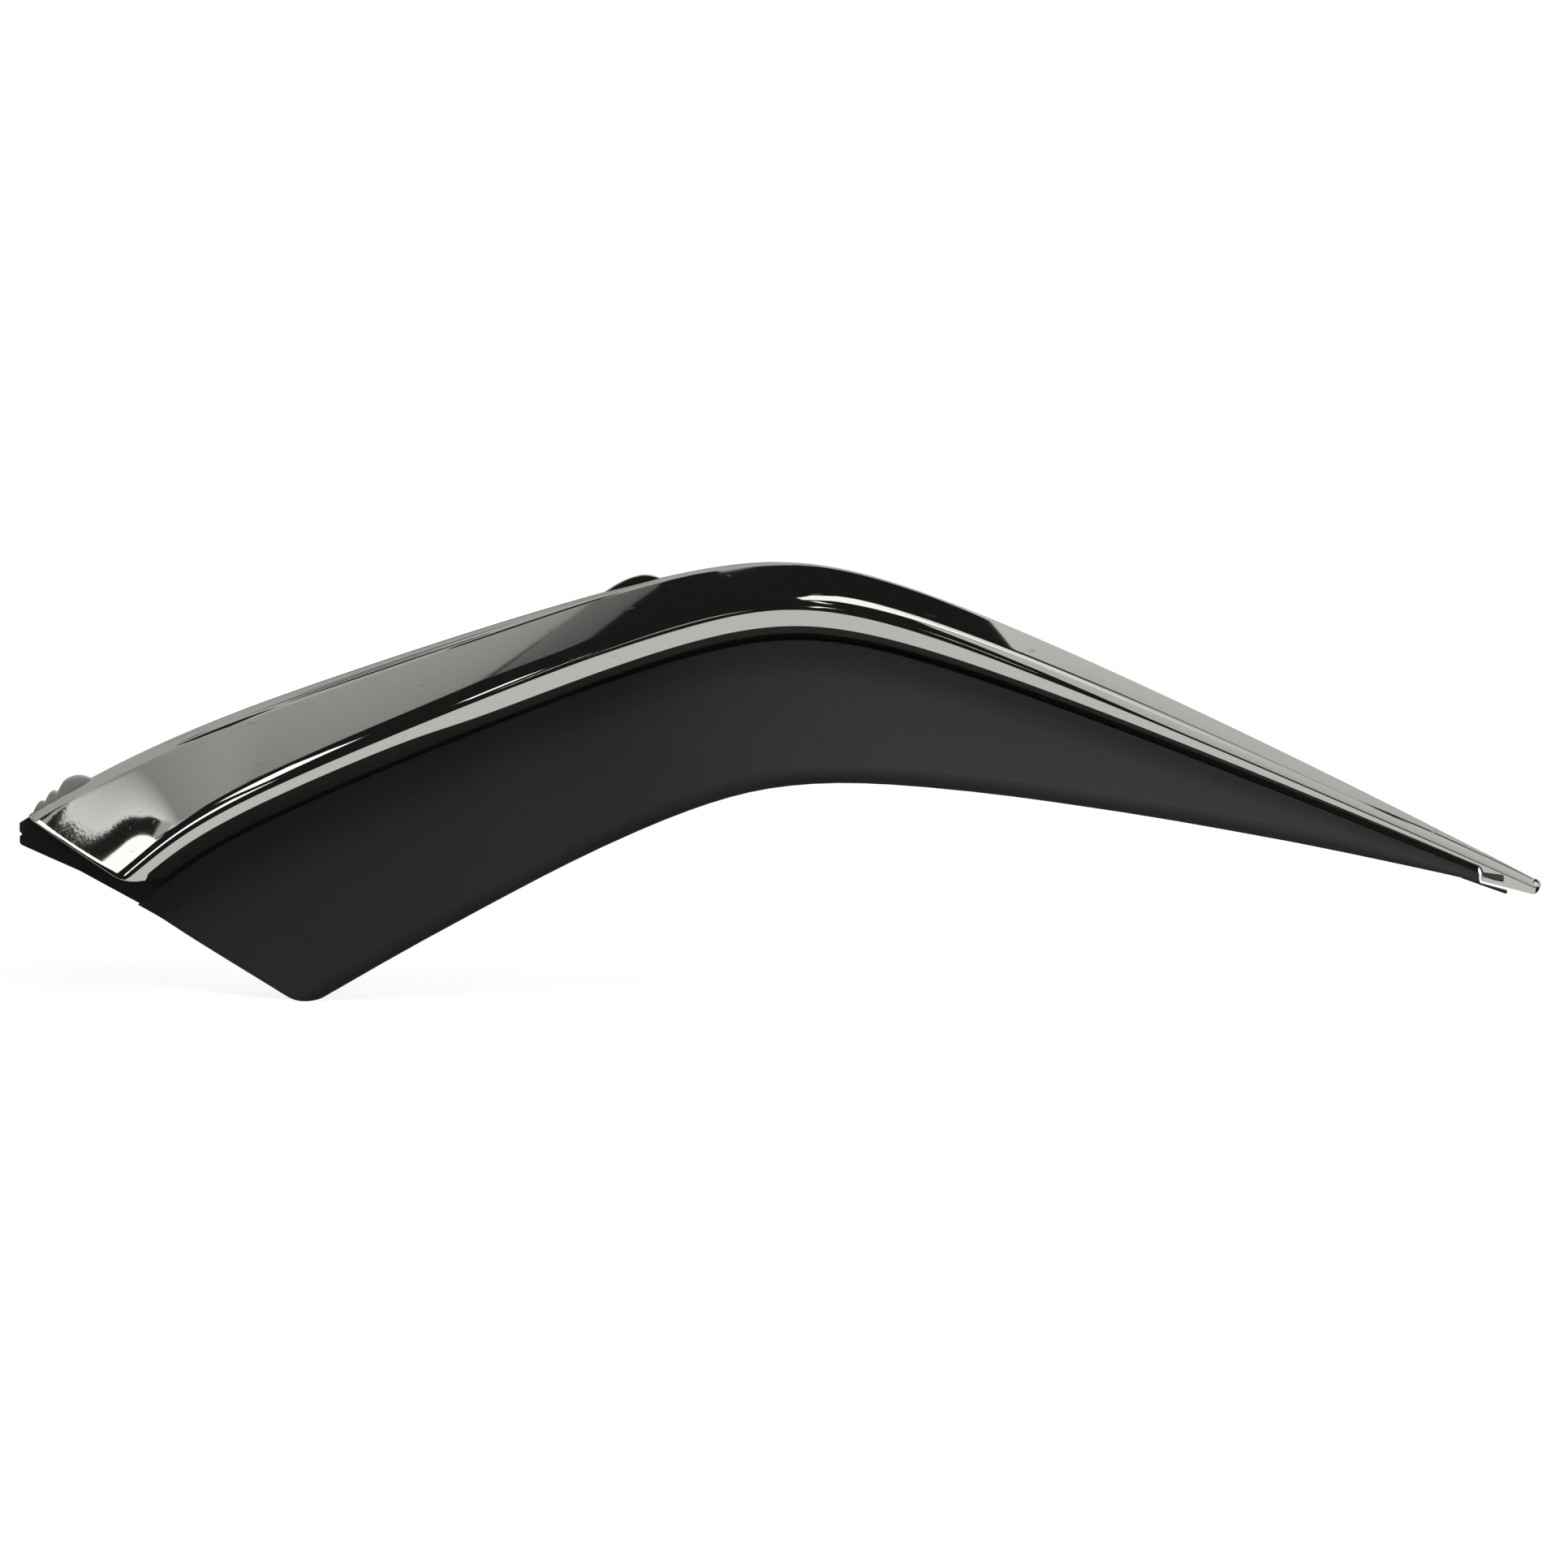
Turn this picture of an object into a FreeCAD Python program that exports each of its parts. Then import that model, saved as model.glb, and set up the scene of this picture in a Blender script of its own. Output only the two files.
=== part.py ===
import FreeCAD, Part
import math
import os
import Sketcher

# Corner bumper moulding: a chrome-plated blade screwed to a matt black base panel.
# X runs along the bumper towards the pointed tip, -Y faces outwards and Z is up.
# The origin is the root of the locating peg behind the bend.

dimensions = {
    # Plan curve of the bumper that the moulding lies against
    "plan_radius": 1600,
    "plan_vertex": 100,
    # How far each form runs along the bumper from the bend
    "left_reach": 306,
    "panel_reach": 275,
    "panel_hollow": 232,
    "blade_hollow": 225,
    "nose_start": 277,
    "nose_reach": 300.5,
    # Bend shared by every styling line
    "bend_radius": 45,
    # Top edge of the chrome
    "top_height": 33.9,
    "top_bend": 5.5,
    "top_tilt": -0.073,
    "top_fall": 0.381,
    "top_crown": 0.158,
    # Ridge where the upper face turns into the lower facet
    "ridge_height": 20.4,
    "ridge_bend": 4.5,
    "ridge_tilt": -0.019,
    "ridge_fall": 0.418,
    "ridge_crown": 0.103,
    # Lower edge of the facet
    "facet_height": 6.7,
    "facet_bend": 3.3,
    "facet_tilt": 0.005,
    "facet_fall": 0.4,
    "facet_crown": 0.095,
    # Lower edge of the base panel
    "hem_height": -51.7,
    "hem_bend": -10.2,
    "hem_tilt": 0.191,
    "hem_fall": 0.331,
    "hem_crown": 0.234,
    # Droop of ridge and facet towards the left end
    "end_fall": 5.2,
    "end_fall_place": 170,
    "droop_depth": 24,
    "droop_place": 250,
    "droop_width": 30,
    # Chrome section
    "ridge_reach": 34,
    "face_lean": 0.65,
    "facet_lean": 0.5,
    "tuck_lean": 1.1,
    "tuck_share": 0.74,
    "tuck_gain": 0.24,
    "tuck_place": 130,
    "tuck_width": 20,
    "top_round": 1.8,
    "ridge_round": 7,
    "edge_round": 0.7,
    "top_return": 5,
    "low_return": 9,
    "chrome_wall": 2.4,
    # Base section
    "seat_gap": 0.25,
    "groove_gap": 2.4,
    "recess_depth": 6,
    "recess_place": 60,
    "recess_width": 25,
    "wall_drop": 1.2,
    "flange_depth": 8,
    "strip_share": 0.26,
    "strip_span": 55,
    "strip_lean": 0.1,
    "cove_round": 25,
    "panel_lean": 0.36,
    "lip_height": 4.5,
    "lip_round": 8,
    "hem_depth": 12,
    "panel_wall": 2.4,
    # Diagonal left end
    "end_tip": 300.5,
    "end_place": 267,
    "end_drop": 94.5,
    "end_slope": 0.5,
    "end_round": 3,
    "end_inset": 10,
    "tip_inset": 5,
    "tip_sag": 2.6,
    "sag_place": 276,
    "notch_rise": 4,
    "notch_depth": 1,
    "panel_corner": 184,
    "panel_corner_round": 17,
    "blade_corner": 253,
    "blade_foot": 238,
    "blade_corner_round": 4,
    "blade_end_round": 0.6,
    # Tongue of the panel under the chrome nose
    "nose_tongue_length": 11,
    "nose_tongue_width": 2.5,
    "nose_tongue_thick": 1.2,
    # Lugs behind the top edge of the chrome
    "lug_thick": 2,
    "lug_root": 0.7,
    "lug_margin": 1.2,
    # Fixings of the chrome to the base
    "boss_radius": 3.6,
    "pilot_radius": 1.55,
    "pilot_depth": 5.5,
    "seat_radius": 5,
    "seat_rise": 2.5,
    "hole_radius": 1.9,
    "screw_radius": 1.5,
    "screw_grip": 4.5,
    "head_radius": 3.6,
    "head_height": 2.4,
    # Fixings of the moulding to the bumper
    "rib_thick": 1.8,
    "tower_width": 15,
    "tower_height": 9,
    "neck_margin": 1,
    "low_root": 12,
    "far_rise": 0.27,
    "tongue_width": 11,
    "tongue_thick": 2,
    "tongue_length": 10,
    "clip_width": 9,
    "clip_sheet": 0.7,
    "clip_play": 0.05,
    "clip_span": 5,
    "peg_boss_radius": 4,
    "peg_radius": 3,
    "peg_length": 8.5,
    "peg_lead": 1.5,
}

doc = FreeCAD.newDocument("BumperMoulding")
sheet = doc.addObject("Spreadsheet::Sheet", "Dims")
for row, (alias, value) in enumerate(dimensions.items(), start=1):
    sheet.set(f"A{row}", alias)
    sheet.set(f"B{row}", str(value))
    sheet.setAlias(f"B{row}", alias)
doc.recompute()


# Sketch helpers

def origin_plane(body, role):
    """The plane of the body's own origin with this role."""
    return [feature for feature in body.Origin.OriginFeatures if feature.Role == role][0]


def new_sketch(body, label, role, offset):
    """Sketch on an origin plane of the body, moved along the plane's normal by the offset."""
    sketch = body.newObject("Sketcher::SketchObject", label)
    sketch.AttachmentSupport = (origin_plane(body, role), [""])
    sketch.MapMode = "FlatFace"
    sketch.setExpression("AttachmentOffset.Base.z", offset)
    return sketch


def bind(sketch, constraint, name, expression):
    """Add a named constraint whose value follows the expression."""
    constraint.Name = name
    sketch.addConstraint(constraint)
    sketch.setExpression(f"Constraints.{name}", expression)


def pin_point(sketch, geometry, name, spot, across, up):
    """Hold a point of the sketch at two dimensions named after it."""
    bind(sketch, Sketcher.Constraint("DistanceY", geometry, 1, spot.y), f"{name}_y", up)
    bind(sketch, Sketcher.Constraint("DistanceX", geometry, 1, spot.x), f"{name}_x", across)


def round_corner(before, spot, after, radius):
    """Tangent points of a rounded corner, its arc and whether the outline turns left there."""
    back = (before - spot).normalize()
    ahead = (after - spot).normalize()
    half = back.getAngle(ahead) / 2
    centre = spot + (back + ahead).normalize() * (radius / math.sin(half))
    arrive = spot + back * (radius / math.tan(half))
    leave = spot + ahead * (radius / math.tan(half))
    turns_left = back.cross(ahead).z < 0
    first, last = (arrive, leave) if turns_left else (leave, arrive)
    start = math.atan2(first.y - centre.y, first.x - centre.x)
    end = math.atan2(last.y - centre.y, last.x - centre.x)
    arc = Part.ArcOfCircle(Part.Circle(centre, FreeCAD.Vector(0, 0, 1), radius), start, end)
    return arrive, leave, arc, turns_left


def draw_profile(sketch, guides, corners):
    """Closed outline with sharp or rounded corners, placed from named points.

    Guides are construction points. A guide is (name, across, up) and a corner has its rounding
    as well, or None. Each text may use {name_x} and {name_y} of the points before it and
    the height of its own point.
    """
    numbers = {}
    names = {}

    def value_of(text):
        return float(sheet.evalExpression(text.format(**numbers)))

    def locate(name, across, up):
        spot = FreeCAD.Vector(0, value_of(up), 0)
        numbers[f"{name}_y"] = repr(spot.y)
        spot.x = value_of(across)
        numbers[f"{name}_x"] = repr(spot.x)
        for axis in "xy":
            names[f"{name}_{axis}"] = f"(Constraints.{name}_{axis} / 1 mm)"
        return spot

    for name, across, up in guides:
        spot = locate(name, across, up)
        point = sketch.addGeometry(Part.Point(spot), True)
        pin_point(sketch, point, name, spot, across.format(**names), up.format(**names))

    spots = [locate(name, across, up) for name, across, up, rounding in corners]
    count = len(corners)
    bends = []
    for index, (name, across, up, rounding) in enumerate(corners):
        spot = spots[index]
        if rounding is None:
            bends.append((spot, spot, None, True))
        else:
            after = spots[(index + 1) % count]
            bends.append(round_corner(spots[index - 1], spot, after, value_of(rounding)))
    sides = []
    for index in range(count):
        side = Part.LineSegment(bends[index][1], bends[(index + 1) % count][0])
        sides.append(sketch.addGeometry(side, False))
    for index, (name, across, up, rounding) in enumerate(corners):
        before = sides[index - 1]
        after = sides[index]
        arrive, leave, shape, turns_left = bends[index]
        if rounding is None:
            sketch.addConstraint(Sketcher.Constraint("Coincident", before, 2, after, 1))
            vertex = after
        else:
            arc = sketch.addGeometry(shape, False)
            vertex = sketch.addGeometry(Part.Point(spots[index]), True)
            first, last = (1, 2) if turns_left else (2, 1)
            sketch.addConstraint(Sketcher.Constraint("Tangent", before, 2, arc, first))
            sketch.addConstraint(Sketcher.Constraint("Tangent", after, 1, arc, last))
            sketch.addConstraint(Sketcher.Constraint("PointOnObject", vertex, 1, before))
            sketch.addConstraint(Sketcher.Constraint("PointOnObject", vertex, 1, after))
            radius = Sketcher.Constraint("Radius", arc, shape.Radius)
            bind(sketch, radius, f"{name}_round", rounding.format(**names))
        pin_point(sketch, vertex, name, spots[index], across.format(**names), up.format(**names))


# Styling lines of the moulding

def plan_at(along):
    """Depth of the plan curve, nil at the origin."""
    return f"((({along}) + Dims.plan_vertex)^2 - Dims.plan_vertex^2) / (2 * Dims.plan_radius)"


def line_at(line, along):
    """Height of a styling line: two arms joined by a rounded bend, each arm slightly crowned."""
    run = f"(({along}) - Dims.{line}_bend)"
    bend = f"(sqrt({run}^2 + Dims.bend_radius^2) - Dims.bend_radius)"
    fall = f"Dims.{line}_fall * {bend} + Dims.{line}_crown * {run}^2 / 1000"
    return f"(Dims.{line}_height + Dims.{line}_tilt * {run} - ({fall}))"


def fade_at(along, form):
    """Smooth step from one at the left to nil at the right of a form's place."""
    run = f"(({along}) + Dims.{form}_place)"
    return f"(0.5 - 0.5 * {run} / sqrt({run}^2 + Dims.{form}_width^2))"


def end_fall_at(along):
    """How far the top edge falls away towards the left end, growing with the cube of the way."""
    run = f"(({along}) + Dims.end_fall_place)"
    return f"Dims.end_fall * ((abs({run}) - {run}) / 2)^3 / 1000000"


def top_at(along):
    """Height of the top edge."""
    return f"({line_at('top', along)} - {end_fall_at(along)})"


def styling_guides(along, low_line):
    """Ridge line, drooped ridge, top edge, tuck, low edge and hem at this place along the bumper."""
    droop = f"Dims.droop_depth * {fade_at(along, 'droop')}"
    low_edge = line_at(low_line, along)
    if low_line == "facet":
        low_edge = f"{low_edge} - {droop}"
    tuck = f"(Dims.tuck_share - Dims.tuck_gain * {fade_at(along, 'tuck')})"
    return [
        ("crest", f"{plan_at(along)} - Dims.ridge_reach", line_at("ridge", along)),
        ("ridge", "{crest_x}", "{crest_y} - " + droop),
        ("brow", "{crest_x} + Dims.face_lean * ({brow_y} - {crest_y})", line_at("top", along)),
        ("top", "{brow_x}", "{brow_y} - " + end_fall_at(along)),
        ("foot", "{ridge_x}", low_edge),
        ("tuck", "{ridge_x} + Dims.facet_lean * ({ridge_y} - {tuck_y})",
         "{ridge_y} - " + tuck + " * ({ridge_y} - {foot_y})"),
        ("low", "{tuck_x} + Dims.tuck_lean * ({tuck_y} - {low_y})", "{foot_y}"),
        ("hem", "{ridge_x}", line_at("hem", along)),
    ]


section_steps = 20


def stations(start, reach, steps):
    """Evenly spaced places of the sections."""
    return [f"{start} + {step} / {steps} * (Dims.{reach} - ({start}))" for step in range(steps + 1)]


left_end = "-Dims.left_reach"

# Chrome sections, from the top edge round the front to the rims that meet the base
tall = "({top_y} - {low_y})"
face_tall = "({top_y} - {ridge_y})"
top_rim = "{top_x} + " + f"min(Dims.top_return; 0.25 * {tall})"
low_rim = "{low_x} + " + f"min(Dims.low_return; 0.3 * {tall})"
blade_outline = [
    ("face_top", "{top_x}", "{top_y}", f"min(Dims.top_round; 0.35 * {face_tall})"),
    ("face_low", "{ridge_x}", "{ridge_y}", f"min(Dims.ridge_round; 0.65 * {face_tall})"),
    ("facet_tuck", "{tuck_x}", "{tuck_y}", "Dims.edge_round"),
    ("facet_low", "{low_x}", "{low_y}", "Dims.edge_round"),
    ("rim_low", low_rim, "{low_y}", None),
    ("rim_top", top_rim, "{top_y} - 0.1 * Dims.top_return", None),
]
blade_core = [
    ("core_top", "{top_x} + 0.8 * Dims.chrome_wall", "{top_y} - Dims.chrome_wall", None),
    ("core_ridge", "{ridge_x} + 1.2 * Dims.chrome_wall", "{ridge_y} - 0.1 * Dims.chrome_wall",
     f"min(0.6 * Dims.ridge_round; 0.4 * {face_tall})"),
    ("core_low", "{low_x} + 0.9 * Dims.chrome_wall", "{low_y} + Dims.chrome_wall", None),
    ("core_low_back", f"{low_rim} + Dims.top_return", "{low_y} + Dims.chrome_wall", None),
    ("core_top_back", f"{top_rim} + Dims.top_return", "{top_y} - Dims.chrome_wall", None),
]

# Base sections, from the backing wall down over groove, strip and broad face to the rolled hem
drop = "({wall_y} - {hem_y})"


def base_guides(along):
    """Styling guides, then the foot of the backing wall, the strip, the cove and the lip."""
    strip_tall = f"Dims.strip_share * {drop} / sqrt(1 + ({drop} / Dims.strip_span)^2)"
    recess = f"Dims.recess_depth * {fade_at(along, 'recess')}"
    return styling_guides(along, "facet") + [
        ("wall", f"{low_rim} + Dims.seat_gap", "{low_y} - Dims.groove_gap"),
        ("strip", "{low_x} + " + recess, "{wall_y}"),
        ("cove", "{strip_x} - Dims.strip_lean * ({strip_y} - {cove_y})", "{strip_y} - " + strip_tall),
        ("lip", "{cove_x} - Dims.panel_lean * ({cove_y} - {lip_y})",
         "{hem_y} + " + f"min(Dims.lip_height; 0.3 * {drop})"),
        ("head", f"{top_rim} + Dims.seat_gap", "{top_y} - Dims.wall_drop"),
    ]


lip_tall = "({lip_y} - {hem_y})"
hem_depth = f"min(Dims.hem_depth; 4 + 0.25 * {drop})"
flange_depth = f"min(Dims.flange_depth; 0.6 * {tall})"
base_outline = [
    ("wall_top", "{head_x}", "{head_y}", None),
    ("wall_foot", "{wall_x}", "{wall_y}", None),
    ("strip_top", "{strip_x}", "{strip_y}", "Dims.edge_round"),
    ("cove_bend", "{cove_x}", "{cove_y}", "min(Dims.cove_round; 3 * ({strip_y} - {cove_y}))"),
    ("lip_bend", "{lip_x}", "{lip_y}", "min(Dims.lip_round; 1.5 * ({lip_y} - {hem_y}))"),
    ("hem_front", f"{{lip_x}} + 0.15 * {lip_tall}", "{hem_y}", f"min(Dims.edge_round; 0.3 * {lip_tall})"),
    ("hem_back", "{lip_x} + " + hem_depth, "{hem_y} + 0.5 * Dims.edge_round", None),
    ("flange_back", "{head_x} + " + flange_depth, "{head_y} - 0.5 * Dims.wall_drop", None),
]
base_core = [
    ("core_top", "{head_x} + Dims.panel_wall", "{head_y} - Dims.panel_wall", None),
    ("core_foot", "{wall_x} + Dims.panel_wall", "{wall_y} - Dims.panel_wall", None),
    ("core_strip", "{strip_x} + Dims.panel_wall", "{strip_y} - Dims.panel_wall", None),
    ("core_cove", "{cove_x} + Dims.panel_wall", "{cove_y} - 0.3 * Dims.panel_wall", None),
    ("core_lip", "{lip_x} + Dims.panel_wall", "{lip_y} - 0.2 * Dims.panel_wall", None),
    ("core_hem", "{lip_x} + 1.2 * Dims.panel_wall", "{hem_y} + Dims.panel_wall", None),
    ("core_hem_back", "{lip_x} + 5 * Dims.hem_depth", "{hem_y} + Dims.panel_wall", None),
    ("core_top_back", "{head_x} + 5 * Dims.hem_depth", "{head_y} - Dims.panel_wall", None),
]


def add_loft(body, label, places, guides_at, corners):
    """Solid through the same profile drawn at each place."""
    sketches = []
    for number, place in enumerate(places):
        sketch = new_sketch(body, f"{label}_section_{number}", "YZ_Plane", place)
        draw_profile(sketch, guides_at(place), corners)
        sketches.append(sketch)
    feature = body.newObject("PartDesign::AdditiveLoft", label)
    feature.Profile = sketches[0]
    feature.Sections = sketches[1:]
    doc.recompute()
    return feature


def end_height(along, inset):
    """Height of the diagonal end line, moved inwards by the inset."""
    rise = f"{inset} * sqrt(1 + Dims.end_slope^2)"
    return f"{rise} - Dims.end_drop - Dims.end_slope * (({along}) + Dims.end_place)"


def level_foot(inset):
    """Foot of the chrome's end cut: level with its corner, so the end is cut off flat below."""
    return "-Dims.blade_foot", end_height("-Dims.blade_corner", inset)


hem_foot_place = "-0.6 * Dims.panel_corner"
hem_foot = (hem_foot_place, f"{line_at('hem', hem_foot_place)} - Dims.end_round")
tip_low_height = f"({end_height('-Dims.end_tip', '0')} - Dims.tip_sag)"
notch_height = f"({tip_low_height} + Dims.notch_rise)"
tip_notch = [
    ("sag_start", "-Dims.sag_place", end_height("-Dims.sag_place", "0"), None),
    ("tip_sag", "-Dims.end_tip", tip_low_height, "0.5 * Dims.end_round"),
    ("notch_low", "-Dims.end_tip", f"{notch_height} - Dims.notch_depth", None),
    ("notch_in", "Dims.notch_depth - Dims.end_tip", notch_height, None),
    ("notch_top", "-Dims.end_tip", f"{notch_height} + Dims.notch_depth", None),
]


def cut_left_end(body, label, inset, tip_inset, corner, foot, corner_round, tip_forms=None):
    """Take away what lies left of the upright tip line, below the diagonal end line and
    outside the rounded corner where that line meets the piece's lower edge, up to a foot
    given as its place along and its height. Tip forms take the place of a plain rounded tip."""
    tip = f"{tip_inset} - Dims.end_tip"
    far = "2 * Dims.end_tip"
    foot_place, foot_height = foot
    sketch = new_sketch(body, f"{label}_outline", "XZ_Plane", "0")
    draw_profile(sketch, [], [
        ("tip_top", tip, far, None),
        ("far_top", f"-{far}", far, None),
        ("far_low", f"-{far}", f"-{far}", None),
        ("foot_low", foot_place, f"-{far}", None),
        ("foot_top", foot_place, foot_height, None),
        ("corner", f"-Dims.{corner}", end_height(f"-Dims.{corner}", inset), corner_round),
    ] + (tip_forms or [("tip_low", tip, end_height(tip, inset), "Dims.end_round")]))
    pocket = body.newObject("PartDesign::Pocket", label)
    pocket.Profile = sketch
    pocket.Type = "ThroughAll"
    pocket.Midplane = True
    before = body.Shape.Volume
    doc.recompute()
    if not pocket.Shape.Volume < before:
        raise RuntimeError(f"{label} took nothing away")
    return pocket


def new_body(label):
    """Empty body with this label."""
    return doc.addObject("PartDesign::Body", label)


def blade_guides(along):
    """Guide points of the chrome blade, whose foot follows the facet line."""
    return styling_guides(along, "facet")


def nose_guides(along):
    """Guide points of the chrome nose, whose foot follows the hem line."""
    return styling_guides(along, "hem")


def solid(kind, label, sizes, place, turned):
    """Part primitive with bound sizes and place, its own Z turned to point along +Y if asked."""
    item = doc.addObject(kind, label)
    if turned:
        item.Placement.Rotation = FreeCAD.Rotation(FreeCAD.Vector(1, 0, 0), -90)
    for name, expression in sizes.items():
        item.setExpression(name, expression)
    for axis, expression in zip("xyz", place):
        item.setExpression(f"Placement.Base.{axis}", expression)
    return item


def rod(label, radius, start, end, along, up):
    """Round bar along Y between two depths."""
    sizes = {"Radius": radius, "Height": f"{end} - ({start})"}
    return solid("Part::Cylinder", label, sizes, (along, start, up), True)


def block(label, width, height, start, end, along, up):
    """Square bar along Y between two depths."""
    sizes = {"Length": width, "Width": f"{end} - ({start})", "Height": height}
    place = (f"{along} - 0.5 * {width}", start, f"{up} - 0.5 * {height}")
    return solid("Part::Box", label, sizes, place, False)


def joined(label, items):
    """All the items as one shape."""
    fuse = doc.addObject("Part::MultiFuse", label)
    fuse.Shapes = items
    return fuse


def cut(label, item, tool):
    """The item without the tool."""
    result = doc.addObject("Part::Cut", label)
    result.Base = item
    result.Tool = tool
    return result


def written_out(guides):
    """Each guide's two dimensions as complete expressions."""
    words = {}
    for name, across, up in guides:
        words[f"{name}_y"] = f"({up.format(**words)})"
        words[f"{name}_x"] = f"({across.format(**words)})"
    return words


def behind_chrome(along, rise="0.5"):
    """Height at this share of the way up the backing wall and the depth of the wall's front there."""
    words = written_out(base_guides(along))
    up = "({low_y} + rise * ({top_y} - {low_y}))".replace("rise", rise).format(**words)
    share = "(({up} - {wall_y}) / ({head_y} - {wall_y}))".format(up=up, **words)
    front = "({wall_x} + {share} * ({head_x} - {wall_x}))".format(share=share, **words)
    return up, front


def left_share(share):
    """Place on the left arm, as a share of its length from the origin."""
    return f"-{share} * Dims.left_reach"


def right_share(share):
    """Place on the right arm, as a share of the panel's hollow from the origin."""
    return f"{share} * Dims.panel_hollow"


screw_places = [left_share(share) for share in (0.74, 0.46, 0.16)]
screw_places += [right_share(share) for share in (0.22, 0.52, 0.8)]
clip_places = [(left_share(share), "0.5") for share in (0.67, 0.31)]
clip_places += [(right_share(0.37), "0.5"), (right_share(0.66), "Dims.far_rise")]
low_clip_place = left_share(0.55)
rib_places = [left_share(share) for share in (0.8, 0.6, 0.385, 0.235, 0.08)]
rib_places += [right_share(share) for share in (0.12, 0.295, 0.45, 0.6)]
guide_peg_place = right_share(0.9)
far_front = "-Dims.left_reach"


# Chrome blade: lofted skin with a solid nose, hollow behind except for the screw bosses

blade = new_body("blade")
add_loft(blade, "blade_loft", stations(left_end, "nose_start", section_steps), blade_guides, blade_outline)
add_loft(blade, "nose_loft", stations("Dims.nose_start", "nose_reach", 2), nose_guides, blade_outline)
end_cut = cut_left_end(blade, "blade_end", "Dims.end_inset", "Dims.tip_inset",
                       "blade_corner", level_foot("Dims.end_inset"), "Dims.blade_corner_round")


def end_edge(shape):
    """Name of the front edge of the diagonal end face: of the long edges there, the foremost."""
    found = []
    for number, edge in enumerate(shape.Edges, start=1):
        ends = edge.Vertexes
        heights = [sheet.evalExpression(end_height(repr(end.X), "Dims.end_inset")) for end in ends]
        gaps = [abs(end.Z - height) for end, height in zip(ends, heights)]
        if max(gaps) < 0.05 and edge.Length > 4 * dimensions["end_round"]:
            found.append((edge.CenterOfGravity.y, edge.Length, number))
    longest = max(length for depth, length, number in found)
    return "Edge%d" % min(item for item in found if item[1] > 0.5 * longest)[2]


rolled = blade.newObject("PartDesign::Fillet", "blade_end_edge")
rolled.Base = (end_cut, [end_edge(end_cut.Shape)])
rolled.setExpression("Radius", "min(Dims.blade_end_round; 0.9 * Dims.edge_round)")
doc.recompute()

blade_hollow = new_body("blade_hollow")
blade_core_stations = stations(left_end, "blade_hollow", section_steps)
add_loft(blade_hollow, "blade_core", blade_core_stations, blade_guides, blade_core)
core_inset = "(Dims.end_inset + Dims.chrome_wall)"
cut_left_end(blade_hollow, "blade_core_end", core_inset, "(Dims.tip_inset + Dims.chrome_wall)",
             "blade_corner", level_foot(core_inset), "Dims.blade_corner_round")

bosses = []
pilots = []
for number, along in enumerate(screw_places):
    up, front = behind_chrome(along)
    bosses.append(rod(f"boss_{number}", "Dims.boss_radius", far_front, front, along, up))
    start = f"{front} - Dims.pilot_depth"
    pilots.append(rod(f"pilot_{number}", "Dims.pilot_radius", start, f"{front} + 1", along, up))


def add_lug(label, along, width, rise, peak_share):
    """Lug standing up from the top return, highest at peak_share of its width from its middle."""
    words = written_out(styling_guides(along, "facet"))
    back = "({top_x} + Dims.top_return - Dims.lug_margin)".format(**words)
    body = new_body(label)
    sketch = new_sketch(body, f"{label}_outline", "XZ_Plane", f"-{back}")
    shares = (("left", -0.5, "-Dims.lug_root"), ("peak", peak_share, rise), ("right", 0.5, "-Dims.lug_root"))
    corners = []
    for name, share, lift in shares:
        place = f"{along} + {share} * {width}"
        rounding = f"0.5 * {rise}" if name == "peak" else None
        corners.append((name, place, f"{top_at(place)} + {lift}", rounding))
    for name, share in (("foot_right", 0.5), ("foot_left", -0.5)):
        place = f"{along} + {share} * {width}"
        corners.append((name, place, f"{top_at(place)} - 0.4 * Dims.chrome_wall", None))
    draw_profile(sketch, [], list(reversed(corners)))
    pad = body.newObject("PartDesign::Pad", f"{label}_pad")
    pad.Profile = sketch
    pad.setExpression("Length", "Dims.lug_thick")
    return body


lugs = [
    add_lug("lug_bend", left_share(0.19), "22", "3.2", 0.1),
    add_lug("lug_end_1", left_share(0.9085), "14", "5.2", -0.16),
    add_lug("lug_end_2", left_share(0.9382), "3.2", "4.2", 0),
    add_lug("lug_end_3", left_share(0.952), "3.6", "3.5", 0),
]
blade_space = cut("blade_space", blade_hollow, joined("blade_bosses", bosses))
blade_shell = cut("blade_shell", blade, blade_space)
chrome = cut("chrome_moulding", joined("blade_with_lugs", [blade_shell] + lugs), joined("pilots", pilots))


# Base panel: lofted skin with rolled hem, hollow behind except for ribs, towers and bosses

base = new_body("base")
add_loft(base, "base_loft", stations(left_end, "panel_reach", section_steps), base_guides, base_outline)
cut_left_end(base, "base_end", "0", "0", "panel_corner", hem_foot, "Dims.panel_corner_round", tip_notch)
base_hollow = new_body("base_hollow")
add_loft(base_hollow, "base_core", stations(left_end, "panel_hollow", section_steps), base_guides, base_core)
cut_left_end(base_hollow, "base_core_end", "Dims.panel_wall", "Dims.panel_wall",
             "panel_corner", hem_foot, "Dims.panel_corner_round")

kept = []
added = []
holes = []
for number, along in enumerate(rib_places):
    far = "2 * Dims.left_reach"
    kept.append(block(f"rib_{number}", "Dims.rib_thick", far, far_front, "Dims.left_reach", along, "0"))
for number, along in enumerate(screw_places):
    up, front = behind_chrome(along)
    seat = f"{front} + Dims.panel_wall + Dims.seat_rise"
    kept.append(rod(f"seat_{number}", "Dims.seat_radius", far_front, seat, along, up))
    start = f"{front} - 2 * Dims.panel_wall"
    holes.append(rod(f"hole_{number}", "Dims.hole_radius", start, f"{seat} + 1", along, up))
    back = f"{seat} + 2 * Dims.head_height"
    holes.append(rod(f"head_room_{number}", "Dims.head_radius + Dims.seat_gap", seat, back, along, up))


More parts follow.
